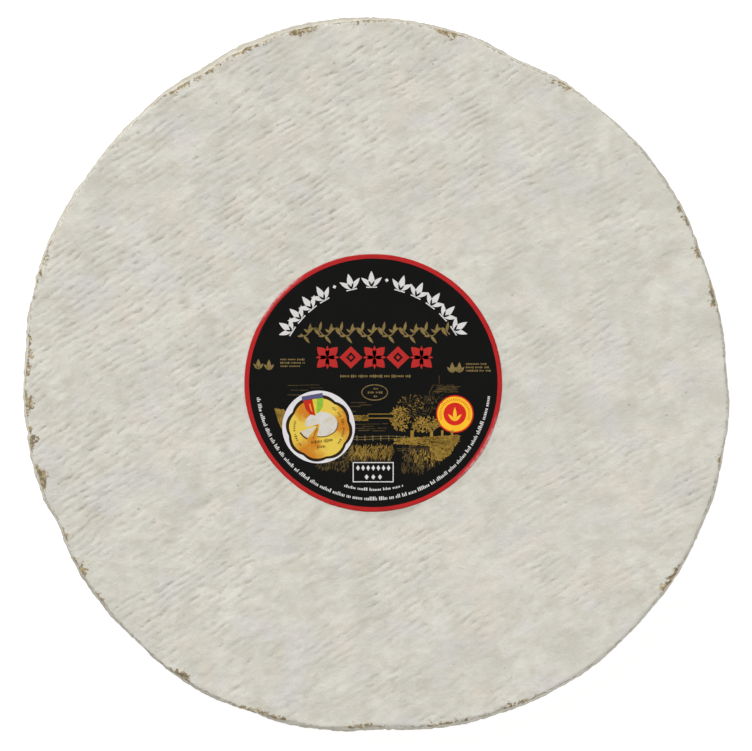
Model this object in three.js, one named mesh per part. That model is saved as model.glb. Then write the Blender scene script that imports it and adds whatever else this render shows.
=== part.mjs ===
// A large, flat wheel of soft white-rind cheese with a round paper label and a small award sticker.
// Millimetres, +Z up. The wheel lies on the plane z = 0, and the origin is the centre of its
// footprint's box. The long edge that was at the top of the mould table is towards +Y.
import * as THREE from "three";

// ---- Driving dimensions: the wheel ----
const wheelRadius = 182.7; // mean radius at the belly, the widest level of the side
const wheelHeight = 27; // from the underside to the flat seat of the label
const bellyHeight = 9; // level of the belly: the paste slumps, so it lies below the middle
const footInset = 5.5; // how far the flat underside ends inside the belly
const arrisInset = 1.4; // how far the upper arris lies inside the belly, where the rim is plain
const rimDrop = 0.7; // how far the face falls from the seat to the upper arris
const faceSwell = 0.45; // height of the face's slow swells, above and below the mean
const wheelSegments = 120;

// ---- Driving dimensions: the papers ----
const labelRadius = 65.8;
const labelThickness = 0.2;
const labelAcross = -1.0; // label centre from the wheel's own centre, along X
const labelUp = -1.8; // and along Y
const seatMargin = 4; // width of flat rind kept round the label
const stickerRadius = 18.6;
const stickerThickness = 0.15;
const stickerAcross = -27.9; // sticker centre from the label's centre, along X
const stickerUp = -22.5; // and along Y
const paperSegments = 48;

// Slow waves of the outline: number of lobes, height and the angle of the first crest.
const outlineWaves = [
  { lobes: 2, height: 1.7, crest: -70 },
  { lobes: 3, height: 1.1, crest: -31 },
  { lobes: 5, height: 0.75, crest: 30 },
];

// Dents (negative) and swellings of the side wall: angle, half width in degrees, depth.
const outlineMarks = [
  { at: 20, half: 5, out: -1.2 },
  { at: 53, half: 4, out: -0.4 },
  { at: 66, half: 6, out: -2.3 },
  { at: 106, half: 12, out: 0.3 },
  { at: 119, half: 5, out: -1.7 },
  { at: 157, half: 5, out: 1.0 },
  { at: 176, half: 8, out: -1.35 },
  { at: 205, half: 4, out: -2.1 },
  { at: 237, half: 10, out: 0.85 },
  { at: 271, half: 6, out: -2.5 },
  { at: 319, half: 7, out: -0.6 },
  { at: 343, half: 6, out: 1.1 },
  { at: 354, half: 5, out: 1.4 },
];

// Stretches where the side bulges past the upper arris: angle, half width, further inset.
const bulgeMarks = [
  { at: 70, half: 10, out: 0.8 },
  { at: 112, half: 15, out: 2.0 },
  { at: 180, half: 25, out: 0.5 },
  { at: 272, half: 22, out: 1.0 },
];

const radians = THREE.MathUtils.degToRad;
const smooth = THREE.MathUtils.smoothstep;

// The radial offset that a list of marks gives at an angle in degrees.
function marksAt(marks, angle) {
  const turnTo = (at) => THREE.MathUtils.euclideanModulo(angle - at + 180, 360) - 180;
  return marks.reduce((sum, m) => sum + m.out * Math.exp(-((turnTo(m.at) / m.half) ** 2)), 0);
}

// How far the belly lies outside the mean radius at an angle in degrees.
function outlineAt(angle) {
  const wave = (w) => w.height * Math.cos(radians(w.lobes * (angle - w.crest)));
  return outlineWaves.reduce((sum, w) => sum + wave(w), marksAt(outlineMarks, angle));
}

// The face's slow swells, from three crossing waves a few centimetres long.
function swellAt(x, y) {
  const waves = Math.sin(x / 41 + y / 67) + Math.sin(y / 33 - x / 83) + Math.sin((x - y) / 25);
  return (faceSwell * waves) / 3;
}

const labelReach = Math.hypot(labelAcross, labelUp) + labelRadius;
const seatRadius = labelReach + seatMargin;

// Half section of the wheel: underside, foot, belly, upper arris and face, as radius and level.
function wheelProfile() {
  const above = wheelHeight - bellyHeight;
  const face = wheelRadius - arrisInset;
  const arrisLevel = wheelHeight - rimDrop;
  const ring = (share) => seatRadius + (face - seatRadius) * share;
  const outside = [
    [wheelRadius - footInset, 0],
    [wheelRadius - footInset * 0.55, bellyHeight * 0.07],
    [wheelRadius - footInset * 0.22, bellyHeight * 0.25],
    [wheelRadius - footInset * 0.05, bellyHeight * 0.56],
    [wheelRadius, bellyHeight],
    [wheelRadius - arrisInset * 0.08, bellyHeight + above * 0.25],
    [wheelRadius - arrisInset * 0.3, bellyHeight + above * 0.5],
    [wheelRadius - arrisInset * 0.62, bellyHeight + above * 0.74],
    [face, arrisLevel - 1.1],
    [face - 1.1, arrisLevel - 0.15],
    [face - 3.2, arrisLevel],
  ];
  const inside = [0.88, 0.72, 0.54, 0.36, 0.18].map((share) => [
    ring(share),
    wheelHeight - rimDrop * share ** 2,
  ]);
  const points = [[0, 0], ...outside, ...inside, [seatRadius, wheelHeight], [0, wheelHeight]];
  return points.map(([r, z]) => new THREE.Vector2(r, z));
}

// Moves one point of the turned blank to the hand-formed wheel's surface.
function formPoint(p) {
  const r = Math.hypot(p.x, p.y);
  if (r <= seatRadius + 1e-3) return;
  const angle = THREE.MathUtils.radToDeg(Math.atan2(p.y, p.x));
  const share = smooth(r, seatRadius, wheelRadius - footInset);
  const height = smooth(p.z, bellyHeight, wheelHeight - rimDrop);
  const out = outlineAt(angle) - marksAt(bulgeMarks, angle) * height;
  const lift = swellAt(p.x, p.y) * smooth(r, seatRadius, (seatRadius + wheelRadius) / 2);
  const grow = 1 + (out * share) / r;
  p.set(p.x * grow, p.y * grow, p.z * (1 + lift / wheelHeight));
}

function wheelGeometry() {
  const geometry = new THREE.LatheGeometry(wheelProfile(), wheelSegments);
  geometry.rotateX(Math.PI / 2);
  const position = geometry.attributes.position;
  const point = new THREE.Vector3();
  for (let i = 0; i < position.count; i++) {
    formPoint(point.fromBufferAttribute(position, i));
    position.setXYZ(i, point.x, point.y, point.z);
  }
  geometry.computeVertexNormals();
  return geometry;
}

// A round paper lying flat, from z = 0 up to its thickness.
function paperGeometry(radius, thickness) {
  const outline = new THREE.Shape();
  outline.absarc(0, 0, radius, 0, 2 * Math.PI);
  return new THREE.ExtrudeGeometry(outline, {
    depth: thickness,
    bevelEnabled: false,
    curveSegments: paperSegments,
  });
}

function namedMesh(name, geometry, color, roughness) {
  const material = new THREE.MeshStandardMaterial({ color, roughness, metalness: 0 });
  const mesh = new THREE.Mesh(geometry, material);
  mesh.name = name;
  return mesh;
}

const wheel = namedMesh("cheese_wheel", wheelGeometry(), 0xd1cec3, 0.85);
const label = namedMesh("paper_label", paperGeometry(labelRadius, labelThickness), 0x161412, 0.4);
const sticker = namedMesh(
  "award_sticker",
  paperGeometry(stickerRadius, stickerThickness),
  0xc79a3f,
  0.35,
);
label.position.set(labelAcross, labelUp, wheelHeight);
sticker.position.set(stickerAcross, stickerUp, labelThickness);
label.add(sticker);

// The outline isn't quite centred on the wheel's own axis: its box is moved onto the origin.
const group = new THREE.Group();
group.add(wheel, label);
const box = new THREE.Box3().setFromObject(wheel);
const middle = box.getCenter(new THREE.Vector3());
group.position.set(-middle.x, -middle.y, 0);

export default group;
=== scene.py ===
import math

import bpy
import numpy as np
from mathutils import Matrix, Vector
from mathutils.bvhtree import BVHTree
from mathutils.geometry import delaunay_2d_cdt


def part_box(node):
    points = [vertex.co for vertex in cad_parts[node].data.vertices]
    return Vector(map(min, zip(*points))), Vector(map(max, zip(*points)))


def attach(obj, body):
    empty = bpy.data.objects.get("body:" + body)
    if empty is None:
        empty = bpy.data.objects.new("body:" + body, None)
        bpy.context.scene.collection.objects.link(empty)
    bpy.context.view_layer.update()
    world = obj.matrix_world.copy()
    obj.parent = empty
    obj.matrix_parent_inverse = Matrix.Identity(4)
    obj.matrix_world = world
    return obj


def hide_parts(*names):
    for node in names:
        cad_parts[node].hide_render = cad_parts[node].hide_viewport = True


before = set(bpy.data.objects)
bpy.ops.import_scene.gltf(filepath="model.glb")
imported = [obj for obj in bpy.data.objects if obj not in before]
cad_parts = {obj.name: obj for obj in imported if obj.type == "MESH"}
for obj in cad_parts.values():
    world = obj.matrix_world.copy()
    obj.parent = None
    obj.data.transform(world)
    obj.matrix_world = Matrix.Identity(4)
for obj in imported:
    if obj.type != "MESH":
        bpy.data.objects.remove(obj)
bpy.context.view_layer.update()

MM = 0.001

# ---- The straw mat that the wheel was drained on ----
RIB_PITCH = 3.72
RIB_DEPTH = 0.60
RIB_ANGLE = 34.0  # degrees above +X
RIB_TURN = 0.00022  # how fast the straws turn towards the right-hand side, 1/mm
RIB_STEP_ACROSS = 0.78  # mesh step across the straws
RIB_STEP_ALONG = 2.9  # and along them
FOOT_STEP = 1.5  # mesh step across the straws on the underside
CALM_STEP = 7.0  # mesh step of the rind that the label covers
GRID_REACH = 200  # half the width of the grid of mesh points, which is wider than the wheel

# ---- The side wall ----
AROUND = 880  # columns
WALL_STEP = 0.95  # mesh step up the wall

# Worn stretches of the upper arris, where the tan paste shows: angle, half width, strength.
WORN_ARRIS = [
    (13, 3, 1.0), (21, 2, 0.9), (28, 3, 0.8), (58, 3, 0.9), (78, 4, 0.9), (92, 5, 0.8),
    (102, 3, 1.0), (111, 6, 0.8), (122, 7, 0.85), (161, 6, 0.8), (177, 5, 0.9),
    (184.5, 2.5, 1.2), (190.5, 2.5, 1.2), (197, 2.5, 1.3), (207, 2, 0.85), (213, 2.2, 1.2),
    (219, 2.5, 0.7), (237, 2.5, 0.9), (252, 7, 0.75), (268, 4, 0.75), (281, 5, 0.8),
    (294, 6, 0.8), (325, 4, 0.95), (346, 1.2, 0.9),
]


# ---- Node trees ----

class Tree:
    """Adds nodes to a shader or geometry tree, one call for each node."""

    def __init__(self, tree):
        self.nodes, self.links = tree.nodes, tree.links

    def add(self, kind, settings=None, **inputs):
        node = self.nodes.new(kind)
        for name, value in (settings or {}).items():
            setattr(node, name, value)
        for name, value in inputs.items():
            self.join(value, self.entry(node, name))
        return node

    def entry(self, node, name):
        """A node's input by its name, or by its number as in0, in1 and so on."""
        if name.startswith("in") and name[2:].isdigit():
            return node.inputs[int(name[2:])]
        wanted = name.replace("_", " ").lower()
        return next(s for s in node.inputs if s.name.lower() == wanted and s.enabled)

    def join(self, value, socket):
        if isinstance(value, bpy.types.NodeSocket):
            self.links.new(value, socket)
        else:
            socket.default_value = value

    def calc(self, operation, *values, clamp=False):
        node = self.nodes.new("ShaderNodeMath")
        node.operation, node.use_clamp = operation, clamp
        for value, socket in zip(values, node.inputs):
            self.join(value, socket)
        return node.outputs[0]

    def plus(self, a, b, clamp=False):
        return self.calc("ADD", a, b, clamp=clamp)

    def minus(self, a, b, clamp=False):
        return self.calc("SUBTRACT", a, b, clamp=clamp)

    def times(self, a, b):
        return self.calc("MULTIPLY", a, b)

    def vec(self, operation, a, b):
        node = self.nodes.new("ShaderNodeVectorMath")
        node.operation = operation
        self.join(a, node.inputs[0])
        self.join(b, node.inputs[1])
        return node.outputs["Vector"]

    def scaled(self, vector, factor):
        return self.add("ShaderNodeVectorMath", {"operation": "SCALE"}, in0=vector, Scale=factor).outputs[0]

    def xyz(self, x, y, z):
        return self.add("ShaderNodeCombineXYZ", X=x, Y=y, Z=z).outputs[0]

    def split(self, vector):
        return self.add("ShaderNodeSeparateXYZ", Vector=vector).outputs

    def stored(self, name):
        """A number that each point of the shape carries, in a geometry tree."""
        kind = {"data_type": "FLOAT"}
        return self.add("GeometryNodeInputNamedAttribute", kind, Name=name).outputs[0]

    def noise(self, vector, detail, roughness):
        made = self.add("ShaderNodeTexNoise", Vector=vector, Scale=1.0, Detail=detail, Roughness=roughness)
        return made.outputs[0]

    def span(self, value, low, high, to_low=0.0, to_high=1.0):
        """A value's smooth way from low to high, as a way from to_low to to_high."""
        kind = {"interpolation_type": "SMOOTHSTEP"}
        made = self.add("ShaderNodeMapRange", kind, in0=value, in1=low, in2=high, in3=to_low, in4=to_high)
        return made.outputs[0]

    def mix(self, share, a, b):
        """Colour a with a share of colour b over it."""
        made = self.add("ShaderNodeMix", {"data_type": "RGBA"}, in0=share, in6=a, in7=b)
        return made.outputs[2]


def colour(red, green, blue):
    """A display colour, 0 to 255, as the linear colour that a shader takes."""
    def linear(c):
        c /= 255
        return c / 12.92 if c <= 0.04045 else ((c + 0.055) / 1.055) ** 2.4
    return (linear(red), linear(green), linear(blue), 1.0)


def new_material(name):
    material = bpy.data.materials.new(name)
    material.use_nodes = True
    tree = Tree(material.node_tree)
    shader = material.node_tree.nodes["Principled BSDF"]
    return material, tree, shader


def object_place(t):
    """The place on the object, in millimetres."""
    return t.scaled(t.add("ShaderNodeTexCoord").outputs["Object"], 1 / MM)


def bumped(t, shader, height, strength, distance):
    bump = t.add("ShaderNodeBump", Strength=strength, Distance=distance, Height=height)
    t.join(bump.outputs[0], shader.inputs["Normal"])


def polish(shader, **looks):
    """Sets the shader's plain values, such as Coat_Weight=0.1."""
    for name, value in looks.items():
        shader.inputs[name.replace("_", " ")].default_value = value


# ---- Meshes ----

def placed(name, data):
    """A new object in the scene."""
    made = bpy.data.objects.new(name, data)
    bpy.context.collection.objects.link(made)
    return made


def mesh_object(name, points, faces):
    """A new object whose points are given in millimetres."""
    mesh = bpy.data.meshes.new(name)
    mesh.from_pydata((np.asarray(points) * MM).tolist(), [], faces)
    mesh.update()
    return placed(name, mesh)


def give(obj, name, values):
    """Stores one number for each point."""
    obj.data.attributes.new(name, "FLOAT", "POINT").data.foreach_set("value", values)


def finished(obj, name, tree, **settings):
    """Runs a Geometry Nodes tree on the object and keeps the result as a plain mesh."""
    modifier = obj.modifiers.new("maker", "NODES")
    modifier.node_group = tree
    for label, value in settings.items():
        socket = next(s for s in tree.interface.items_tree if s.name == label)
        modifier[socket.identifier] = value
    seen = obj.evaluated_get(bpy.context.evaluated_depsgraph_get())
    made = placed(name, bpy.data.meshes.new_from_object(seen))
    made.data.name = name
    bpy.data.objects.remove(obj)
    return made


def geometry_tree(name, inputs):
    """An empty Geometry Nodes tree with named inputs: returns the tree, its helper and its ends."""
    group = bpy.data.node_groups.new(name, "GeometryNodeTree")
    group.interface.new_socket("Geometry", in_out="INPUT", socket_type="NodeSocketGeometry")
    group.interface.new_socket("Geometry", in_out="OUTPUT", socket_type="NodeSocketGeometry")
    for label, kind, value in inputs:
        socket = group.interface.new_socket(label, in_out="INPUT", socket_type="NodeSocket" + kind)
        if value is not None:
            socket.default_value = value
    tree = Tree(group)
    return group, tree, tree.add("NodeGroupInput").outputs, tree.add("NodeGroupOutput")


def ended(t, out, geometry, material):
    """Ends a geometry tree with real geometry in its own material."""
    real = t.add("GeometryNodeRealizeInstances", Geometry=geometry).outputs[0]
    done = t.add("GeometryNodeSetMaterial", Geometry=real, Material=material).outputs[0]
    t.join(done, out.inputs[0])


def declare(piece, node):
    """Hangs a finished piece on the root body and hides the solid that it stands in for."""
    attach(piece, "root")
    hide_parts(node)


def seat_of(node):
    """A round paper's centre, the level of its seat, and its radius."""
    low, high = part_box(node)
    centre = (low + high) / 2 / MM
    return np.array(centre[:2]), low.z / MM, (high.x - low.x) / 2 / MM


# ---- The wheel's section, read from its solid ----

def read_section(node):
    """The solid's rings from foot to face, as (columns, rings, radius and level), and its axis."""
    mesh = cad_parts[node].data
    points = np.empty(len(mesh.vertices) * 3)
    mesh.vertices.foreach_get("co", points)
    points = np.unique(np.round(points.reshape(-1, 3) / MM, 3), axis=0)
    under = points[points[:, 2] < 0.01]
    axis = under[np.argmin(np.hypot(under[:, 0], under[:, 1]))][:2]
    columns = len(under) - 1
    out = points[:, :2] - axis
    radius = np.hypot(out[:, 0], out[:, 1])
    points, out, radius = points[radius > 1], out[radius > 1], radius[radius > 1]
    column = np.round(np.arctan2(out[:, 1], out[:, 0]) / (2 * math.pi) * columns).astype(int) % columns
    middle = points[:, 2].max() / 2
    turn = np.arctan2(points[:, 2] - middle, radius - (radius.max() - middle))
    order = np.lexsort((turn, column))
    rings = np.column_stack([radius[order], points[order, 2]])
    return rings.reshape(columns, -1, 2), axis


def cubic(before, start, end, after, share):
    """Catmull-Rom: a smooth curve from start to end."""
    return 0.5 * (2 * start + (end - before) * share
                  + (2 * before - 5 * start + 4 * end - after) * share ** 2
                  + (3 * start - before - 3 * end + after) * share ** 3)


def round_the_wheel(values, count):
    """Values given at even angles, at more of them."""
    at = np.arange(count) / count * len(values)
    i = np.floor(at).astype(int)
    share = (at - i).reshape((-1,) + (1,) * (values.ndim - 1))
    near = [values[(i + k) % len(values)] for k in (-1, 0, 1, 2)]
    return cubic(*near, share)


def up_the_wall(section, step):
    """Each column's rings as an evenly stepped smooth curve, and its length from the first ring."""
    chords = np.linalg.norm(np.diff(section, axis=1), axis=2).mean(axis=0)
    knots = np.concatenate([[0], np.cumsum(chords)])
    rise = np.diff(section, axis=1) / chords[None, :, None]
    inner = (rise[:, 1:] * chords[:-1, None] + rise[:, :-1] * chords[1:, None]) / (
        chords[1:, None] + chords[:-1, None])
    slope = np.concatenate([rise[:, :1], inner, rise[:, -1:]], axis=1)
    at = np.linspace(0, knots[-1], int(round(knots[-1] / step)) + 1)
    i = np.clip(np.searchsorted(knots, at, side="right") - 1, 0, len(chords) - 1)
    h, t = chords[i][None, :, None], ((at - knots[i]) / chords[i])[None, :, None]
    wall = ((2 * t ** 3 - 3 * t ** 2 + 1) * section[:, i] + (t ** 3 - 2 * t ** 2 + t) * h * slope[:, i]
            + (3 * t ** 2 - 2 * t ** 3) * section[:, i + 1] + (t ** 3 - t ** 2) * h * slope[:, i + 1])
    return wall, at, knots


def bump_at(angles, marks):
    """The strength that a list of (angle, half width, strength) gives at each angle in degrees."""
    total = np.zeros_like(angles)
    for at, half, strength in marks:
        turn = (angles - at + 180) % 360 - 180
        total = np.maximum(total, strength * np.exp(-np.abs(turn / half) ** 3))
    return total


def rib_frame(points):
    """Distances along and across the straws; across bends as the straws turn."""
    a = math.radians(RIB_ANGLE)
    along = points[:, 0] * math.cos(a) + points[:, 1] * math.sin(a)
    across = -points[:, 0] * math.sin(a) + points[:, 1] * math.cos(a)
    return along, across + RIB_TURN * np.maximum(along, 0) ** 2


def from_rib_frame(along, across):
    a = math.radians(RIB_ANGLE)
    across = across - RIB_TURN * np.maximum(along, 0) ** 2
    return np.column_stack([along * math.cos(a) - across * math.sin(a),
                            along * math.sin(a) + across * math.cos(a)])


def inside(points, loop):
    """Which points lie inside a loop that runs once round the origin."""
    angle = np.arctan2(points[:, 1], points[:, 0]) % (2 * math.pi)
    edge = np.arctan2(loop[:, 1], loop[:, 0]) % (2 * math.pi)
    order = np.argsort(edge)
    reach = np.interp(angle, edge[order], np.hypot(loop[order, 0], loop[order, 1]), period=2 * math.pi)
    return np.hypot(points[:, 0], points[:, 1]) < reach


def filled_face(loop, step_across, step_along, calm=None):
    """Triangles inside a closed loop, on rows that follow the straws. Returns new points and faces."""
    margin = 0.75 * step_across
    along = np.arange(-GRID_REACH, GRID_REACH, step_along)
    across = np.arange(-GRID_REACH, GRID_REACH, step_across)
    grid = np.stack(np.meshgrid(along, across), axis=-1).reshape(-1, 2)
    points = from_rib_frame(grid[:, 0], grid[:, 1])
    keep = inside(points, loop * (1 - margin / np.hypot(loop[:, 0], loop[:, 1])[:, None]))
    if calm is not None:
        centre, radius = calm
        keep &= np.hypot(*(points - centre).T) > radius
    points = points[keep]
    if calm is not None:
        spread = np.arange(-radius, radius, CALM_STEP)
        rest = np.stack(np.meshgrid(spread, spread), axis=-1).reshape(-1, 2)
        rest = rest[np.hypot(rest[:, 0], rest[:, 1]) < radius - CALM_STEP / 2]
        points = np.concatenate([points, rest + centre])
    everything = np.concatenate([loop, points])
    s, t = rib_frame(everything)
    flat = np.column_stack([s * step_across / step_along, t])
    ring = [(i, (i + 1) % len(loop)) for i in range(len(loop))]
    made = delaunay_2d_cdt([Vector(p) for p in flat.tolist()], ring, [], 1, 1e-4)
    assert len(made[0]) == len(everything), "the face's points must stay as they were given"
    origin = [source[0] for source in made[3]]
    faces = np.array([[origin[i] for i in face] for face in made[2]])
    a, b, c = everything[faces[:, 0]], everything[faces[:, 1]], everything[faces[:, 2]]
    down = (b[:, 0] - a[:, 0]) * (c[:, 1] - a[:, 1]) - (c[:, 0] - a[:, 0]) * (b[:, 1] - a[:, 1]) < 0
    faces[down] = faces[down][:, ::-1]
    return points, faces


FACE_RINGS = 6  # the solid's innermost rings, which lie on its face
OVERHEAD = 50  # a level above the whole wheel
LABEL_MARGIN = 2.5  # how far inside the label's edge the rind is left calm
ARRIS_REACH = 30  # how far from the upper arris a place is still measured
HEEL_SPREAD = 2.4  # half width of the nibbled band at the foot of the wall
FOOT_PRINTS = 1.5  # how far up the wall the straws' prints fade from the underside
FACE_PRINTS = 1.2  # how far below the upper arris the face's prints begin
FACE_PRINTS_FADE = 1.6  # and how far they take to come in full


def wall_shell():
    """The wall's points, ring by ring from the foot, with each ring's height and the knots up the wall."""
    section, axis = read_section("cheese_wheel")
    wall_rings = section.shape[1] - FACE_RINGS
    wall, height, knots = up_the_wall(round_the_wheel(section[:, :wall_rings], AROUND), WALL_STEP)
    angle = np.arange(AROUND) / AROUND * 2 * math.pi
    spoke = np.column_stack([np.cos(angle), np.sin(angle)])
    ground = axis + wall[:, :, :1] * spoke[:, None, :]
    shell = np.concatenate([ground, wall[:, :, 1:]], axis=2).transpose(1, 0, 2).reshape(-1, 3)
    return shell, height, knots


def on_the_face(points):
    """Points of the face, at the solid's level."""
    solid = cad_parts["cheese_wheel"].data
    tree = BVHTree.FromPolygons([v.co / MM for v in solid.vertices], [p.vertices[:] for p in solid.polygons])
    down = Vector((0, 0, -1))
    levels = [tree.ray_cast(Vector((x, y, OVERHEAD)), down)[0].z for x, y in points.tolist()]
    return np.column_stack([points, levels])


def wheel_blank():
    """The wheel's smooth blank: a wall of columns, closed by a face and an underside."""
    shell, height, knots = wall_shell()
    rim, foot = shell[-AROUND:], shell[:AROUND]
    centre, _, label_radius = seat_of("paper_label")
    calm = (centre, label_radius - LABEL_MARGIN)
    face_points, face_tris = filled_face(rim[:, :2], RIB_STEP_ACROSS, RIB_STEP_ALONG, calm)
    foot_points, foot_tris = filled_face(foot[:, :2], FOOT_STEP, RIB_STEP_ALONG)
    face_points = on_the_face(face_points)
    foot_points = np.column_stack([foot_points, np.zeros(len(foot_points))])

    faces = []
    for low in range(0, len(shell) - AROUND, AROUND):
        high = low + AROUND
        for i in range(AROUND):
            j = (i + 1) % AROUND
            faces.append((low + i, low + j, high + j, high + i))
    first_face, first_rim = len(shell), len(shell) - AROUND
    first_foot = first_face + len(face_points)
    top = np.where(face_tris < AROUND, face_tris + first_rim, face_tris - AROUND + first_face)
    bottom = np.where(foot_tris < AROUND, foot_tris, foot_tris - AROUND + first_foot)
    faces += top.tolist() + bottom[:, ::-1].tolist()
    points = np.concatenate([shell, face_points, foot_points])
    made = mesh_object("wheel_blank", points, faces)
    made.data.shade_smooth()

    def by_part(on_wall, on_face, on_foot):
        """One number for each point, from the wall's rings, the face and the underside."""
        return np.concatenate([np.repeat(on_wall, AROUND), np.full(len(face_points), on_face),
                               np.full(len(foot_points), on_foot)])

    top_of_wall, arris, heel = knots[-1], knots[-3], knots[1]
    degrees = np.degrees(np.arctan2(points[:, 1], points[:, 0])) % 360
    up = by_part(height, top_of_wall, 0.0)
    reach = np.interp(degrees, np.degrees(np.arctan2(rim[:, 1], rim[:, 0])) % 360,
                      np.hypot(rim[:, 0], rim[:, 1]), period=360)
    in_from_rim = np.clip(reach - np.hypot(points[:, 0], points[:, 1]), 0, None)
    past = np.where(up >= top_of_wall - 1e-6, top_of_wall - arris + in_from_rim, up - arris)
    from_label = np.hypot(*(points[:, :2] - centre).T) - label_radius
    above = points[:, 2] > height.max() / 2
    give(made, "past_arris", np.clip(past, -ARRIS_REACH, ARRIS_REACH))
    give(made, "covered", np.clip(1 - from_label / LABEL_MARGIN, 0, 1) * above)
    give(made, "heel", np.exp(-((up - heel) / HEEL_SPREAD) ** 2) * ~above)
    give(made, "worn", bump_at(degrees, WORN_ARRIS))
    upper = np.clip((height - arris + FACE_PRINTS) / FACE_PRINTS_FADE, 0, 1)
    lower = np.clip(1 - height / FOOT_PRINTS, 0, 1)
    give(made, "on_face", by_part(upper, 1.0, 0.0))
    give(made, "on_foot", by_part(lower, 0.0, 1.0))
    return made


# ---- The rind's relief ----

def cloud(t, place, size, shift, detail=2.0, roughness=0.5, stretch=(1, 1, 1)):
    """Soft noise round 0.5, with lumps of a size in millimetres. Another shift gives other lumps."""
    sized = t.scaled(t.vec("MULTIPLY", place, stretch), 1 / size)
    return t.noise(t.vec("ADD", sized, (shift, shift * 0.7, -shift)), detail, roughness)


def wall_folds(t, place):
    """The long level folds of the wall, 1 in their bottoms."""
    line = t.calc("ABSOLUTE", t.minus(cloud(t, place, 13, 53, 3.0, 0.6, (1, 1, 3.4)), 0.5))
    return t.span(line, 0.0, 0.07, 1.0, 0.0)


def near_arris(t, past, above, below):
    """1 on the upper arris, fading to 0 over a distance on the face above it and the wall below it."""
    up = t.span(past, 0.0, above, 1.0, 0.0)
    down = t.span(past, -below, 0.0)
    return t.calc("MINIMUM", up, down)


STRAW_SWAYS = ((46, 9.0, 3), (12, 3.4, 5), (4.6, 2.2, 7))  # length, reach and shift of each sway


def straw_prints(t, place, sizes):
    """How deep the creases between the mat's straws are at a place, from 0 to 1."""
    x, y, _ = t.split(place)
    cos, sin = t.calc("COSINE", sizes["Rib angle"]), t.calc("SINE", sizes["Rib angle"])
    along = t.plus(t.times(x, cos), t.times(y, sin))
    straight = t.minus(t.times(y, cos), t.times(x, sin))
    turned_away = t.times(sizes["Rib turn"], t.calc("POWER", t.calc("MAXIMUM", along, 0.0), 2.0))
    across = t.plus(straight, turned_away)
    row = t.xyz(along, t.times(across, 1.6), 0.0)  # the sways change faster across the straws than along them
    for size, reach, shift in STRAW_SWAYS:
        sway = t.minus(cloud(t, row, size, shift, 1.0), 0.5)
        across = t.plus(across, t.times(sway, reach))
    rib = t.calc("DIVIDE", across, sizes["Rib pitch"])
    crest = t.calc("POWER", t.calc("ABSOLUTE", t.calc("SINE", t.times(rib, math.pi))), 0.6)

    # Each straw has its own place in the noise, so each print breaks off where it likes.
    straw = t.xyz(t.calc("DIVIDE", along, sizes["Straw length"]), t.times(t.calc("ROUND", rib), 5.3), 4.0)
    broken = t.span(t.noise(straw, 2.0, 0.65), 0.38, 0.62, 0.18, 1.1)
    knuckle = t.span(cloud(t, place, 2.7, 17, 2.0), 0.36, 0.64, 0.5, 1.5)
    patch = t.scaled(place, t.calc("DIVIDE", 1.0, sizes["Patch size"]))
    to_lower_right = t.minus(x, t.times(y, 0.6))
    firm = t.span(to_lower_right, -150.0, 120.0, 0.06, -0.035)
    pressed = t.span(t.plus(t.noise(patch, 4.0, 0.65), firm), 0.39, 0.60, 0.08)
    calm = t.span(to_lower_right, -120.0, 130.0, 1.0, 0.82)
    depth = t.times(t.times(t.minus(1.0, crest), t.times(broken, knuckle)), pressed)
    return t.times(depth, calm)


STRAW_SIZES = {
    "Rib pitch": RIB_PITCH, "Rib angle": math.radians(RIB_ANGLE), "Rib turn": RIB_TURN,
    "Straw length": 6.4, "Patch size": 33.0,
}
RIND_DEPTHS = {
    "Rib depth": RIB_DEPTH, "Lump depth": 0.8, "Valley depth": 0.4,
    "Wrinkle depth": 0.6, "Slump depth": 1.3, "Nibble depth": 0.9,
}


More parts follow.
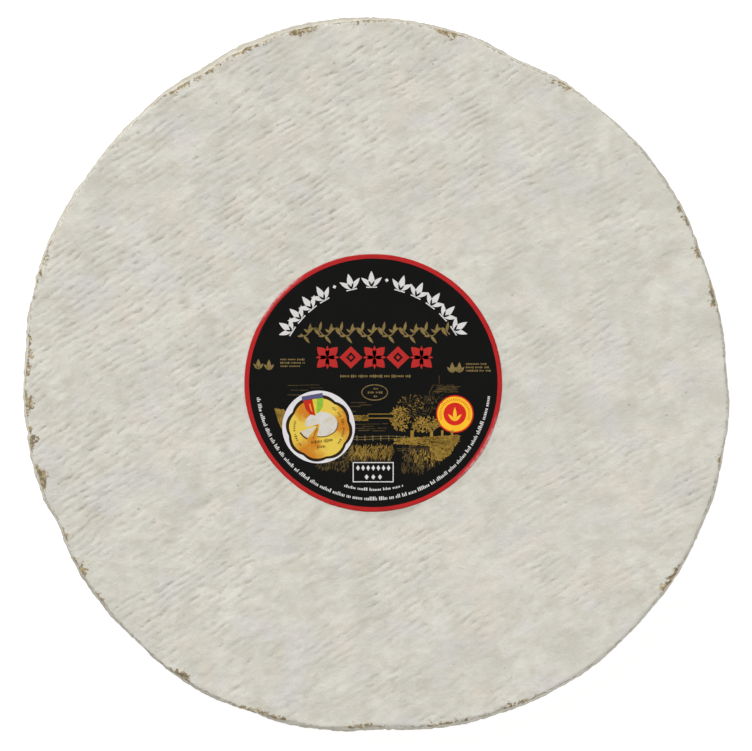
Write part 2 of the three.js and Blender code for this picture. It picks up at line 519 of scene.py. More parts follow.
def rind_relief():
    """Presses the straws of the mat, the wall's wrinkles and the nibbled arrises into a smooth blank."""
    sizes = [(label, "Float", size) for label, size in {**STRAW_SIZES, **RIND_DEPTHS}.items()]
    group, t, given, out = geometry_tree("mat_pressed_rind", sizes + [("Rind", "Material", None)])
    place = t.scaled(t.add("GeometryNodeInputPosition").outputs[0], 1 / MM)
    stored = {name: t.stored(name)
              for name in ("past_arris", "heel", "worn", "covered", "on_face", "on_foot")}

    def lumps(size, shift, detail=2.0, stretch=(1, 1, 1)):
        return t.minus(cloud(t, place, size, shift, detail, stretch=stretch), 0.5)

    rib_share = t.plus(stored["on_face"], stored["on_foot"])
    crease = t.times(straw_prints(t, place, given), rib_share)
    ribs = t.times(crease, given["Rib depth"])

    soft = t.plus(t.times(lumps(21, 0, 3.0), 2.6), t.times(lumps(5.5, 90, 3.0), 1.35))
    soft = t.times(t.plus(soft, 0.55, clamp=True), given["Lump depth"])
    valley = t.span(t.calc("ABSOLUTE", lumps(44, 77)), 0.0, 0.06, 1.0, 0.0)
    valley = t.times(valley, t.span(lumps(52, 12), -0.04, 0.08))
    soft = t.plus(soft, t.times(valley, given["Valley depth"]))
    x, y, _ = t.split(place)
    to_lower_left = t.span(t.plus(x, y), 60.0, -200.0, 0.95, 1.5)
    soft = t.times(soft, to_lower_left)

    on_wall = t.minus(1.0, rib_share, clamp=True)
    slump = t.times(t.plus(lumps(26, 41, stretch=(1, 1, 0.6)), 0.3), given["Slump depth"])
    wrinkle = t.times(wall_folds(t, place), given["Wrinkle depth"])
    fine = t.times(lumps(3.2, 40, 3.0), 1.6)
    wall = t.times(t.plus(t.plus(slump, wrinkle), fine), on_wall)

    edge = t.calc("MAXIMUM", near_arris(t, stored["past_arris"], 3.2, 2.0), stored["heel"])
    bite = t.times(t.span(lumps(3.4, 60, 3.0), -0.02, 0.16), t.plus(0.25, stored["worn"]))
    nibbles = t.times(t.times(bite, edge), given["Nibble depth"])

    depth = t.plus(t.plus(ribs, soft), t.plus(wall, nibbles))
    depth = t.times(depth, t.span(stored["covered"], 0.0, 1.0, 1.0, 0.2))
    normal = t.add("GeometryNodeInputNormal").outputs[0]
    moved = t.add("GeometryNodeSetPosition", Geometry=given["Geometry"],
                  Offset=t.scaled(normal, t.times(depth, -MM))).outputs[0]
    ended(t, out, moved, given["Rind"])
    return group


# Patches of mould: size, shift, detail, roughness, where the noise begins and is full, share, colour.
MOULD_PATCHES = [
    (9, 9, 3.0, 0.5, 0.44, 0.70, 0.65, (200, 196, 181)),
    (26, 21, 2.0, 0.5, 0.50, 0.68, 0.42, (212, 210, 209)),
    (20, 61, 2.0, 0.5, 0.54, 0.70, 0.42, (220, 211, 197)),
    (3.6, 47, 3.0, 0.6, 0.52, 0.72, 0.40, (211, 204, 188)),
]


def mould_tone(t, place, crease):
    """The white mould of the face: cool and warm patches, painted shade in the creases and in pockets along
    them, and small brown specks.
    """
    tone = t.mix(t.span(cloud(t, place, 22, 3, 4.0, 0.62), 0.30, 0.68), colour(204, 201, 190),
                 colour(219, 216, 205))
    for size, shift, detail, roughness, low, high, share, shade in MOULD_PATCHES:
        patch = t.span(cloud(t, place, size, shift, detail, roughness), low, high, 0, share)
        tone = t.mix(patch, tone, colour(*shade))
    # Painted shade: the creases between the straws are greyed by their depth, as shade falls in them.
    tone = t.mix(t.times(t.calc("POWER", crease, 1.4), 0.30), tone, colour(172, 167, 150))
    # Painted shade: darker olive spots in the deepest parts of the creases.
    pocket_shade = t.times(t.span(cloud(t, place, 2.3, 140), 0.55, 0.66), t.span(crease, 0.35, 0.85))
    tone = t.mix(t.times(pocket_shade, 0.36), tone, colour(148, 143, 120))
    cells = t.add("ShaderNodeTexVoronoi", Vector=place, Scale=1 / 10)
    chosen = t.span(t.split(cells.outputs["Color"])[0], 0.66, 0.9)
    speck = t.times(t.span(cells.outputs["Distance"], 0.03, 0.085, 1.0, 0.0), chosen)
    return t.mix(t.times(speck, 0.50), tone, colour(140, 128, 98))


def bloomy_rind():
    """White mould over tan paste, which shows on the wall's folds and where the arris is worn. The wall's
    darker ivory and the dark line along the arris are partly painted shade.
    """
    material, t, shader = new_material("bloomy_rind")
    place = object_place(t)
    stored = {name: t.add("ShaderNodeAttribute", {"attribute_name": name}).outputs["Fac"]
              for name in ("past_arris", "worn", "on_face", "on_foot")}
    past_arris, worn = stored["past_arris"], stored["worn"]
    rib_share = t.plus(stored["on_face"], stored["on_foot"], clamp=True)
    crease = t.times(straw_prints(t, place, STRAW_SIZES), rib_share)
    tone = mould_tone(t, place, crease)

    # The wall's ivory is partly its own thinner bloom and partly painted shade: it is darker than the face so
    # that the lit wall is no brighter than the face, and it covers more of the wall further below the arris.
    wall_ivory_and_shade = t.mix(t.span(cloud(t, place, 6, 31, 4.0, 0.65, (1, 1, 1.6)), 0.36, 0.62),
                  colour(190, 186, 173), colour(174, 168, 151))
    wall_ivory_and_shade = t.mix(t.times(wall_folds(t, place), 0.45), wall_ivory_and_shade, colour(158, 140, 106))
    on_wall = t.minus(1.0, rib_share, clamp=True)
    wall_ivory_and_shade_share = t.span(past_arris, -0.5, -11.0, 0.3, 1.0)
    tone = t.mix(t.times(on_wall, wall_ivory_and_shade_share), tone, wall_ivory_and_shade)

    # Olive specks along the upper arris, thickened into a dark line there: partly the rind's own specks,
    # partly painted shade where the face turns down into the wall.
    arris_specks_and_shade_share = t.times(near_arris(t, past_arris, 3.0, 5.0), 0.22)
    arris_specks_and_shade = t.span(t.plus(cloud(t, place, 1.9, 33, 4.0, 0.75), arris_specks_and_shade_share), 0.66, 0.74)
    tone = t.mix(t.times(arris_specks_and_shade, 0.7), tone, colour(138, 130, 104))
    edge = near_arris(t, past_arris, t.plus(1.8, t.times(worn, 6.5)), 2.4)
    ragged = t.plus(cloud(t, place, 2.7, 70, 4.0, 0.7), t.times(edge, t.times(worn, 0.36)))
    bare = t.span(ragged, 0.69, 0.75)
    for limit in (t.span(cloud(t, place, 6.5, 23, 3.0, 0.6), 0.34, 0.42), t.span(worn, 0.1, 0.4),
                  t.span(edge, 0.02, 0.15)):
        bare = t.times(bare, limit)
    paste = t.mix(t.span(cloud(t, place, 1.7, 81, 3.0), 0.40, 0.58), colour(178, 158, 116),
                  colour(114, 99, 70))
    tone = t.mix(t.times(bare, 0.92), tone, paste)
    t.join(tone, shader.inputs["Base Color"])
    polish(shader, Roughness=0.88, Specular_IOR_Level=0.25, Sheen_Weight=0.15, Sheen_Roughness=0.6)

    fuzz = t.plus(t.times(cloud(t, place, 1.2, 5, 2.0, 0.6), 0.26),
                  t.times(cloud(t, place, 3.2, 15, 3.0, 0.6), 0.5))
    height = t.minus(fuzz, t.times(t.calc("POWER", crease, 1.5), 0.1))
    bumped(t, shader, height, 1.0, MM)
    return material


def cheese_wheel():
    wheel = finished(wheel_blank(), "wheel_of_cheese", rind_relief(), Rind=bloomy_rind())
    declare(wheel, "cheese_wheel")


# ---- Papers and prints ----

PAPER_TOP = 0.13  # top of the label's paper above its seat; the inks lie on it
INK_SUNK, INK_PROUD = 0.02, 0.03
BLACK_RADIUS = 63.4  # of the label's black field
LABEL_RING_STEP = 2.4  # mesh step outwards
LABEL_SPOKES = 180  # and round
EDGE_DROP = 0.03  # how far the label's very edge lies lower
# A painted pale pink highlight lies on the red edge at these arcs.
PAINTED_HIGHLIGHT_ARCS = [(-32.0, 20.0), (138.0, 17.0)]  # middle and half width, in degrees
CRINKLED_ARCS = [(146, 9, 1.0), (-38, 16, 0.6)]  # middle, half width and strength
CRINKLES = 34  # as many as would go round the whole label


def paper_lift(x, y):
    """How far the label's paper rises and falls over the ribs and towards its crinkled edge."""
    radius, angle = np.hypot(x, y), np.degrees(np.arctan2(y, x))
    waves = 0.014 * (np.sin(x / 9 + y / 15) + np.sin(y / 8 - x / 21))
    crinkle = bump_at(angle, CRINKLED_ARCS) * np.sin(np.radians(angle) * CRINKLES)
    return waves + 0.05 * crinkle * np.clip((radius - 57) / 8, 0, 1) ** 2 - 0.03


class Film:
    """Flat patches of ink or paper, as thin closed solids laid on a paper."""

    def __init__(self, centre, level, lift=None, sunk=INK_SUNK, proud=INK_PROUD):
        self.centre, self.level, self.lift = np.array(centre), level, lift
        self.sunk, self.proud = sunk, proud
        self.points, self.faces = [], []

    def over(self, rise=0.0, proud=INK_PROUD):
        """An empty film at the same place, or a little above it."""
        return Film(self.centre, self.level + rise, self.lift, proud=proud)

    def base(self, x, y):
        """The paper's level at a place."""
        return self.level + (self.lift(x, y) if self.lift else 0 * x)

    def raised(self, outline):
        """Adds an outline's points below and above the paper: the first number of each, and how many."""
        outline = np.asarray(outline, float)
        base = self.base(outline[:, 0], outline[:, 1])
        first = sum(len(p) for p in self.points)
        for shift in (-self.sunk, self.proud):
            self.points.append(np.column_stack([outline + self.centre, base + shift]))
        return first, first + len(outline), len(outline)

    def patch(self, outline):
        """A closed outline that runs anticlockwise, filled."""
        low, high, n = self.raised(outline)
        self.faces.append(tuple(range(high, high + n)))
        self.faces.append(tuple(range(low + n - 1, low - 1, -1)))
        self.faces += [(low + i, low + (i + 1) % n, high + (i + 1) % n, high + i) for i in range(n)]

    def hoop(self, inner, outer):
        """The band between two closed outlines with as many points."""
        a, b, n = self.raised(inner)
        c, d, n = self.raised(outer)
        for i in range(n):
            j = (i + 1) % n
            self.faces += [(b + i, d + i, d + j, b + j), (a + i, a + j, c + j, c + i),
                           (c + i, c + j, d + j, d + i), (a + j, a + i, b + i, b + j)]

    def ribbon(self, path, width):
        """A line of ink along a path of points."""
        path = np.asarray(path, float)
        run = np.gradient(path, axis=0)
        side = np.column_stack([-run[:, 1], run[:, 0]]) / np.linalg.norm(run, axis=1)[:, None] * width / 2
        a, b, n = self.raised(path + side)
        c, d, n = self.raised(path - side)
        for i in range(n - 1):
            j = i + 1
            self.faces += [(b + i, d + i, d + j, b + j), (a + i, a + j, c + j, c + i),
                           (a + i, b + i, b + j, a + j), (c + j, d + j, d + i, c + i)]
        self.faces += [(a, c, d, b), (a + n - 1, b + n - 1, d + n - 1, c + n - 1)]

    def piece(self, name, material):
        made = mesh_object(name, np.concatenate(self.points), self.faces)
        made.data.materials.append(material)
        return made


def round_turns(points):
    """Even turns once round, in radians."""
    return np.arange(points) / points * 2 * math.pi


def circle(radius, points, centre=(0, 0), squash=1.0):
    turn = round_turns(points)
    return np.column_stack([centre[0] + radius * np.cos(turn), centre[1] + radius * squash * np.sin(turn)])


def on_arc(radius, degrees):
    a = math.radians(degrees)
    return radius * math.cos(a), radius * math.sin(a)


def box_outline(x0, y0, x1, y1):
    return np.array([(x0, y0), (x1, y0), (x1, y1), (x0, y1)], float)


def scalloped(radius, depth, lobes, turn, points, centre):
    """A circle whose edge bulges in shallow scallops."""
    bulge = np.abs(np.sin((round_turns(points) - math.radians(turn)) * lobes / 2)) - 0.6
    return circle(radius + depth * bulge, points, centre)


TICK = box_outline(-0.5, -0.5, 0.5, 0.5)
LOZENGE = np.array([(0.5, 0), (0, 0.5), (-0.5, 0), (0, -0.5)])


def leaf(points=14):
    """A leaf one unit long from its stalk at the origin, and one unit wide."""
    t = np.linspace(0, 1, points // 2 + 1)
    half = 0.5 * np.sin(math.pi * t ** 0.8) ** 0.9
    lower = np.column_stack([t, -half])
    upper = np.column_stack([t, half])[::-1][1:-1]
    return np.concatenate([lower, upper])


def turned(outline, degrees, move, scale):
    a = math.radians(degrees)
    outline = np.asarray(outline) * scale
    turn = np.array([[math.cos(a), math.sin(a)], [-math.sin(a), math.cos(a)]])
    return outline @ turn + np.asarray(move)


def prints_tree():
    """Sets an ornament on every point, turned and sized by the point's own numbers."""
    group, t, given, out = geometry_tree("set_out_prints", [
        ("Ornament", "Object", None), ("Ink", "Material", None)])
    turn, width, height = t.stored("turn"), t.stored("width"), t.stored("height")
    shape = t.add("GeometryNodeObjectInfo", Object=given["Ornament"]).outputs["Geometry"]
    copies = t.add("GeometryNodeInstanceOnPoints", Points=given["Geometry"], Instance=shape,
                   Rotation=t.xyz(0, 0, turn), Scale=t.xyz(width, height, 1)).outputs[0]
    ended(t, out, copies, given["Ink"])
    return group


def set_out(tree, name, film, outlines, rows, material):
    """One ornament, given by its outlines, at each row of (x, y, turn, width, height)."""
    rows = np.array(rows, float)
    pattern = Film((0, 0), 0)
    for outline in outlines:
        pattern.patch(outline)
    ornament = pattern.piece("ornament", material)
    level = film.base(rows[:, 0], rows[:, 1])
    spots = mesh_object("spots", np.column_stack([rows[:, :2] + film.centre, level]), [])
    give(spots, "turn", np.radians(rows[:, 2]))
    give(spots, "width", rows[:, 3])
    give(spots, "height", rows[:, 4])
    made = finished(spots, name, tree, Ornament=ornament, Ink=material)
    bpy.data.objects.remove(ornament)
    return made


def joined(name, parts):
    """One object from several that share a finish."""
    points, faces, first = [], [], 0
    for part in parts:
        co = np.empty(len(part.data.vertices) * 3)
        part.data.vertices.foreach_get("co", co)
        points.append(co.reshape(-1, 3) / MM)
        faces += [tuple(i + first for i in p.vertices) for p in part.data.polygons]
        first += len(part.data.vertices)
    material = parts[0].data.materials[0]
    for part in parts:
        bpy.data.objects.remove(part)
    made = mesh_object(name, np.concatenate(points), faces)
    made.data.materials.append(material)
    return made


def varnished(name, plain, worn, size=3.0, share=0.5):
    """Printed paper under varnish: one ink, with a share of a second tone in patches of a size."""
    material, t, shader = new_material(name)
    place = object_place(t)
    patch = t.span(cloud(t, place, size, 12, 3.0, 0.6), 0.4, 0.7, 0, share)
    t.join(t.mix(patch, colour(*plain), colour(*worn)), shader.inputs["Base Color"])
    polish(shader, Roughness=0.5, Specular_IOR_Level=0.12, Coat_Weight=0.06, Coat_Roughness=0.3)
    grain = t.plus(cloud(t, place, 0.8, 2), t.times(cloud(t, place, 9, 4), 3.0))
    bumped(t, shader, grain, 0.25, 0.06 * MM)
    return material


def red_edge_with_painted_highlight(centre):
    """The label's red edge, with a painted pale pink highlight on its outer half where it bends over the
    crinkled paper's rim.
    """
    material, t, shader = new_material("red_edge")
    place = object_place(t)
    x, y, _ = t.split(t.vec("SUBTRACT", place, (*centre, 0)))
    turn = t.calc("DEGREES", t.calc("ARCTAN2", y, x))
    reach = t.calc("SQRT", t.plus(t.times(x, x), t.times(y, y)))
    # Painted highlight: pale pink streaks on the edge's outer half, where the bending edge would catch the
    # light.
    painted_highlight = 0.0
    for middle, half in PAINTED_HIGHLIGHT_ARCS:
        away = t.calc("ABSOLUTE", t.minus(turn, middle))
        painted_highlight = t.calc("MAXIMUM", painted_highlight, t.span(away, half, half * 0.4))
    streaky = t.span(cloud(t, place, 2.2, 5, 3.0, 0.6), 0.36, 0.62, 0.35)
    painted_highlight = t.times(t.times(painted_highlight, t.span(reach, 64.0, 65.6)), streaky)
    patch = t.span(cloud(t, place, 5, 12, 3.0), 0.4, 0.7, 0, 0.6)
    tone = t.mix(patch, colour(186, 33, 34), colour(168, 28, 30))
    t.join(t.mix(painted_highlight, tone, colour(222, 150, 152)), shader.inputs["Base Color"])
    polish(shader, Roughness=0.45, Specular_IOR_Level=0.2, Coat_Weight=0.1, Coat_Roughness=0.25)
    return material


def label_paper(centre, low, radius):
    """The round paper: a black field inside a red edge, with a closed underside."""
    inner = np.linspace(0, BLACK_RADIUS, int(BLACK_RADIUS / LABEL_RING_STEP))[1:]
    rings = np.concatenate([inner, [BLACK_RADIUS + 0.8, radius - 0.5, radius]])
    turn = round_turns(LABEL_SPOKES)
    wobble = 0.1 * (1 + np.sin(5 * turn + 1)) / 2 + 0.06 * (1 + np.sin(13 * turn)) / 2
    points = [(0, 0, PAPER_TOP + paper_lift(0, 0))]
    for ring in rings:
        reach = ring - wobble * (ring > BLACK_RADIUS + 0.1)
        x, y = reach * np.cos(turn), reach * np.sin(turn)
        z = PAPER_TOP + paper_lift(x, y) - (EDGE_DROP if ring == radius else 0)
        points += list(zip(x, y, z))
    points += [(x, y, 0) for x, y, _ in points[-LABEL_SPOKES:]] + [(0, 0, 0)]
    middle_below, last_ring = len(points) - 1, 1 + len(rings) * LABEL_SPOKES
    faces = []
    for i in range(LABEL_SPOKES):
        j = (i + 1) % LABEL_SPOKES
        faces.append((0, 1 + i, 1 + j))
        for a in range(1, last_ring, LABEL_SPOKES):
            b = a + LABEL_SPOKES
            faces.append((a + i, b + i, b + j, a + j))
        faces.append((middle_below, last_ring + j, last_ring + i))
    made = mesh_object("paper_label_sheet", np.array(points) + [*centre, low], faces)
    made.data.materials.append(varnished("black_print", (9, 9, 8), (14, 13, 11), 14.0))
    made.data.materials.append(red_edge_with_painted_highlight(centre))
    for polygon in made.data.polygons:
        polygon.use_smooth = True
        middle = polygon.center / MM
        far = math.hypot(middle.x - centre[0], middle.y - centre[1])
        polygon.material_index = 1 if far > BLACK_RADIUS or middle.z < low + 0.02 else 0
    return made


def small_writing(rng, length, tallest, gap):
    """Plain ticks in word-like groups along a line, as (place, width, height)."""
    ticks, at, left = [], 0.0, 0
    while at < length:
        if left == 0:
            left, at = rng.integers(3, 9), at + gap * 2.2
        width = rng.uniform(0.35, 0.7)
        ticks.append((at + width / 2, width, tallest * rng.choice([0.62, 0.66, 1.0])))
        at, left = at + width + gap, left - 1
    return ticks


def level_writing(rng, x, y, length, tallest, gap=0.35, turn=0, rise=0):
    """Rows for small writing from a place, along a line that may rise."""
    return [(x + at, y + rise * at, turn, width, height)
            for at, width, height in small_writing(rng, length, tallest, gap)]


def round_writing(rng, radius, start, end, tallest, gap=0.35, outward=0, centre=(0, 0)):
    """Rows for small writing along an arc; outward 1 stands the low ticks on its outer side."""
    rows = []
    for at, width, height in small_writing(rng, math.radians(abs(end - start)) * radius, tallest, gap):
        angle = start + math.copysign(math.degrees(at / radius), end - start)
        x, y = on_arc(radius + outward * (tallest - height) / 2, angle)
        rows.append((x + centre[0], y + centre[1], angle + 90, width, height))
    return rows


# The label's prints, from its centre. Angles are in degrees above +X.
GARLAND_RADIUS = 52.8
GARLAND = ((147.5, 120.5, 4), (103.0, 91.0, 2), (74.0, 33.0, 5))  # first and last angle, sprigs
BEAD_ANGLES = (112.0, 82.5)
RIM_WRITING = ((59.0, 186.5, 353.0, 1.9), (54.3, 253.5, 285.5, 1.5))  # radius, angles, height
PANEL = (-10.5, -50.7, 10.4, -40.4)  # left, lower, right and upper edge
PANEL_LINE = 0.5  # width of its frame
PANEL_LEVELS = (-43.4, -48.0)  # of its two rows of drops
RED_LEVEL = 13.0  # of the red row


def white_prints(tree, film, ink):
    """The garland of sprigs, the framed panel and the two lines of ticks near the rim."""
    rng = np.random.default_rng(11)
    sprig = [turned(leaf(), 90, (0, -0.46), (0.96, 0.34))]
    sprig += [turned(leaf(), 90 + side * 48, (side * 0.02, -0.42), (0.80, 0.27)) for side in (-1, 1)]
    sprig.append(box_outline(-0.3, -0.5, 0.3, -0.43))
    garland = [(*on_arc(GARLAND_RADIUS, angle), angle - 90, 9.2, 8.6)
               for start, end, count in GARLAND for angle in np.linspace(start, end, count)]
    beads = [(*on_arc(GARLAND_RADIUS, angle), angle, 2.0, 2.0) for angle in BEAD_ANGLES]
    writing = [row for line in RIM_WRITING for row in round_writing(rng, *line, outward=1)]
    drops = [(x, PANEL_LEVELS[0], 0, 1.9, 2.9) for x in np.linspace(-7.8, 7.8, 7)]
    drops += [(x, PANEL_LEVELS[1], 0, 2.1, 2.7) for x in (-3.4, 0, 3.4)]
    parts = [set_out(tree, "garland", film, sprig, garland, ink),
             set_out(tree, "beads", film, [LOZENGE], beads, ink),
             set_out(tree, "rim_writing", film, [TICK], writing, ink),
             set_out(tree, "panel_drops", film, [LOZENGE], drops, ink)]
    panel = film.over()
    x0, y0, x1, y1 = PANEL
    panel.hoop(box_outline(x0 + PANEL_LINE, y0 + PANEL_LINE, x1 - PANEL_LINE, y1 - PANEL_LINE),
               box_outline(*PANEL))
    return joined("white_label_print", parts + [panel.piece("panel", ink)])


def red_prints(tree, film, ink):
    """The row of five bold rosettes and pierced lozenges."""
    petals = [turned(leaf(), 45 + 90 * k, (0, 0), (0.62, 0.40)) for k in range(4)]
    petals += [turned(leaf(), 90 * k, (0, 0), (0.5, 0.17)) for k in range(4)]
    spots = np.linspace(-23.4, 24.6, 5)
    rows = [(x, RED_LEVEL, 0, 12.0, 12.0) for x in spots[::2]]
    pierced = film.over()
    for x in spots[1::2]:
        pierced.hoop(LOZENGE * (5.0, 5.2) + (x, RED_LEVEL), LOZENGE * (11.8, 11.4) + (x, RED_LEVEL))
        pierced.patch(LOZENGE * 2.4 + (x, RED_LEVEL))
    return joined("red_label_print", [set_out(tree, "rosettes", film, petals, rows, ink),
                                      pierced.piece("lozenges", ink)])


def scattered(rng, zone, count):
    """Random places inside a zone given by its corners."""
    zone = np.array(zone, float)
    spots = np.empty((0, 2))
    while len(spots) < count:
        tries = rng.uniform(zone.min(axis=0), zone.max(axis=0), (count * 2, 2))
        hits = np.zeros(len(tries), bool)
        for (x0, y0), (x1, y1) in zip(zone, np.roll(zone, -1, axis=0)):
            if y0 != y1:
                beyond = tries[:, 0] < x0 + (tries[:, 1] - y0) / (y1 - y0) * (x1 - x0)
                hits ^= ((y0 > tries[:, 1]) != (y1 > tries[:, 1])) & beyond
        spots = np.concatenate([spots, tries[hits]])
    return spots[:count]


def hatched(rng, zone, count, lean, scatter, length, width):
    """Rows for short strokes that fill a zone, leaning one way."""
    spots = scattered(rng, zone, count)
    return np.column_stack([spots, rng.normal(lean, scatter, count), rng.uniform(*length, count),
                            rng.uniform(*width, count)])


def crown(rng, centre, across, up, count, length=(0.8, 1.5), width=(0.35, 0.6)):
    """Rows for the leaves of one lobe of a tree's crown, at every turn."""
    angle, reach = rng.uniform(0, 2 * math.pi, count), np.sqrt(rng.random(count))
    x, y = centre[0] + across * reach * np.cos(angle), centre[1] + up * reach * np.sin(angle)
    turn = rng.uniform(0, 360, count)
    return np.column_stack([x, y, turn, rng.uniform(*length, count), rng.uniform(*width, count)])


def streaks(rng, x0, x1, y0, y1, lines, width, fill):
    """Rows for broken level lines, as far fields and sky are engraved."""
    rows = []
    for y in np.linspace(y0, y1, lines):
        x = x0 + rng.uniform(0, 3)
        while x < x1:
            length = rng.uniform(2, 8)
            if rng.random() < fill:
                level = y + rng.normal(0, 0.12)
                rows.append((min(x + length / 2, x1), level, 0, length, width * rng.uniform(0.6, 1.2)))
            x += length + rng.uniform(0.3, 1.6)
    return rows


def landscape(tree, name, film, ink, seed, hatching, lines, strokes, crowns):
    """One ink of the landscape: hatched zones, broken lines, single strokes and the trees' leaves."""
    rng = np.random.default_rng(seed)
    rows = [hatched(rng, *zone) for zone in hatching]
    rows += [streaks(rng, *field) for field in lines]
    leaves = [crown(rng, *lobe) for lobe in crowns]
    return joined(name, [
        set_out(tree, "strokes", film, [TICK], np.concatenate(rows + [strokes]), ink),
        set_out(tree, "leaves", film, [leaf(8)], np.concatenate(leaves), ink)])


THIN, MIDDLING, THICK = (0.2, 0.34), (0.22, 0.36), (0.3, 0.44)  # widths of the strokes
SMALL_LEAF, THIN_LEAF = (0.7, 1.3), (0.25, 0.42)

# The shaded half of the landscape, the barn and the sky.
# Zones are corners, strokes, lean and its scatter, length, width.
# Lines are left, right, first and last level, how many, width, how full.
# Strokes are x, y, turn, length, width. Crowns are centre, half sizes, leaves, length, width.
SHADED = {
    "hatching": [
        ([(-36, -28), (-10, -29), (-11, -39), (-14, -45), (-28, -44)], 420, 66, 24, (0.9, 2.2), THIN),
        ([(15, -33), (30, -33.5), (34, -41), (24, -46.5), (14, -45)], 190, 88, 16, (1.2, 2.8), THIN),
        ([(-12, -33), (11, -33), (9, -39.8), (-12, -39.8)], 130, 80, 18, (1.4, 3.2), THIN)],
    "lines": [
        (-44, -29, -1.3, -7.5, 6, 0.3, 0.7), (-14, -4, -10, -15.4, 6, 0.3, 0.6),
        (-10, 11, -21.0, -25.6, 5, 0.34, 0.55), (10, 30, -31.5, -34.5, 4, 0.3, 0.6),
        (30, 41.5, -1.2, -4.6, 7, 0.3, 0.95)],
    "strokes": [(33.6, 1.6, 90, 4.2, 0.3), (29.6, -3.0, 62, 4.6, 0.35), (41.6, -3.0, -58, 4.6, 0.35)],
    "crowns": [((22.0, -12.0), 9.5, 6.3, 170, SMALL_LEAF, THIN_LEAF),
               ((31.5, -8.0), 5.0, 3.6, 50, SMALL_LEAF, THIN_LEAF)],
}
# The sunny half, in the same way.
SUNNY = {
    "hatching": [
        ([(11, -28.4), (44.6, -26.6), (43, -31), (29, -32.4), (11, -31)], 520, 4, 16,
         (0.8, 2.0), (0.26, 0.42)),
        ([(28.8, -30), (43, -29.5), (40.3, -34.8), (35, -39.2), (29.6, -38.6)], 560, 84, 14,
         (1.0, 2.2), (0.3, 0.46)),
        ([(-12, -32), (10, -32), (9, -39), (-12, -39)], 200, 74, 20, (1.2, 2.8), MIDDLING),
        ([(17, -34), (30, -34), (32, -41), (24, -44)], 70, 86, 14, (1.2, 2.4), MIDDLING),
        ([(-50.2, -13.6), (-45.4, -14.0), (-46.9, -23.5)], 120, -58, 10, (1.0, 2.2), THICK),
        ([(-10.5, -16.6), (-3.4, -16.6), (-3.4, -19.2), (-10.5, -19.2)], 75, 0, 3, (1.6, 3.0), THICK)],
    "lines": [],
    "strokes": [
        (4.5, -15.9, 0, 15, 0.34), (3.5, -18.0, 0, 13, 0.42), (19.8, -27.0, 90, 5.4, 1.7),
        (29.7, -26.4, 90, 4.4, 1.5), (35.2, -26.2, 90, 4.0, 1.2), (40.2, -26.1, 90, 4.0, 1.3)],
    "crowns": [((13.6, -18.4), 4.8, 6.2, 230), ((26.4, -21.0), 7.2, 3.8, 240),
               ((18.5, -11.5), 7.0, 5.0, 60, (0.6, 1.1), (0.28, 0.42))],
}


SCROLL_LEVEL, SCROLL_SWING = 25.9, 1.9
SCROLL_BEND = 2 * math.pi / 10.8
OVAL = (0.7, -4.9)
SIDE_WRITING = ((-48.0, 10.2), (46.6, 7.9))  # where each block of three lines begins
SIDE_WIDTH = 13.0
SIDE_SPRIGS = ((-58.6, 9.6), (-53.2, 9.2), (40.2, 7.9), (43.9, 7.9))
FENCE_LEVEL = -28.2


def scroll_level(x):
    return SCROLL_LEVEL + SCROLL_SWING * np.sin(x * SCROLL_BEND)


def gold_prints(tree, film, ink):
    """The scroll, the side ornaments, the oval, the fence and the lines of ticks."""
    rng = np.random.default_rng(31)
    rows = level_writing(rng, -17.5, 3.4, 36, 1.5, 0.3)
    for x, y in SIDE_WRITING:
        for line in (1.7, 0, -1.7):
            rows += level_writing(rng, x, y + line, SIDE_WIDTH * rng.uniform(0.8, 1), 1.0, 0.28)
    for y, length in ((-3.0, 2.6), (-4.9, 8.5), (-6.9, 2.2)):
        rows += level_writing(rng, OVAL[0] - length / 2, y, length, 1.1)
    fence_posts = [(x, FENCE_LEVEL, 92, 2.8, 0.36) for x in np.arange(-8.3, 17, 4.05)]

    grains = []
    for x, y in SIDE_SPRIGS:
        grains.append((x, y - 2.9, 90, 5.6, 2.2))
        grains += [(x, y - 2.6, 90 + lean, 3.9, 1.4) for lean in (-42, 42)]
    for k, x in enumerate(np.arange(-35.5, 39, 2.7)):
        up = 1 if k % 2 else -1
        y = scroll_level(x)
        grains += [(x, y, 66 * up + 14, 5.0, 1.5), (x, y, 158 * up - 16, 3.3, 1.2)]

    lines = film.over()
    scroll = np.linspace(-37, 39, 160)
    lines.ribbon(np.column_stack([scroll, scroll_level(scroll)]), 0.5)
    lines.hoop(circle(6.35, 40, OVAL, 0.58), circle(6.75, 40, OVAL, 0.61))
    rail = np.linspace(-10, 18, 30)
    for up in (0.8, -0.5):
        level = FENCE_LEVEL + up + 0.25 * np.sin(rail / 4.5)
        lines.ribbon(np.column_stack([rail, level]), 0.24)
    return joined("gold_label_print", [
        set_out(tree, "gold_ticks", film, [TICK], rows + fence_posts, ink),
        set_out(tree, "grains", film, [leaf()], grains, ink), lines.piece("lines", ink)])


SEAL = (41.6, -15.9)
SEAL_MIDDLE, SEAL_YELLOW, SEAL_EDGE = 5.8, 8.9, 9.6  # outer radii of its three rings
SEAL_TICKS = 7.4  # radius of the ring of ticks
SEAL_LEAVES = ((0, 7.2, 1.9), (-44, 5.0, 1.4), (44, 5.0, 1.4))  # lean, length, width


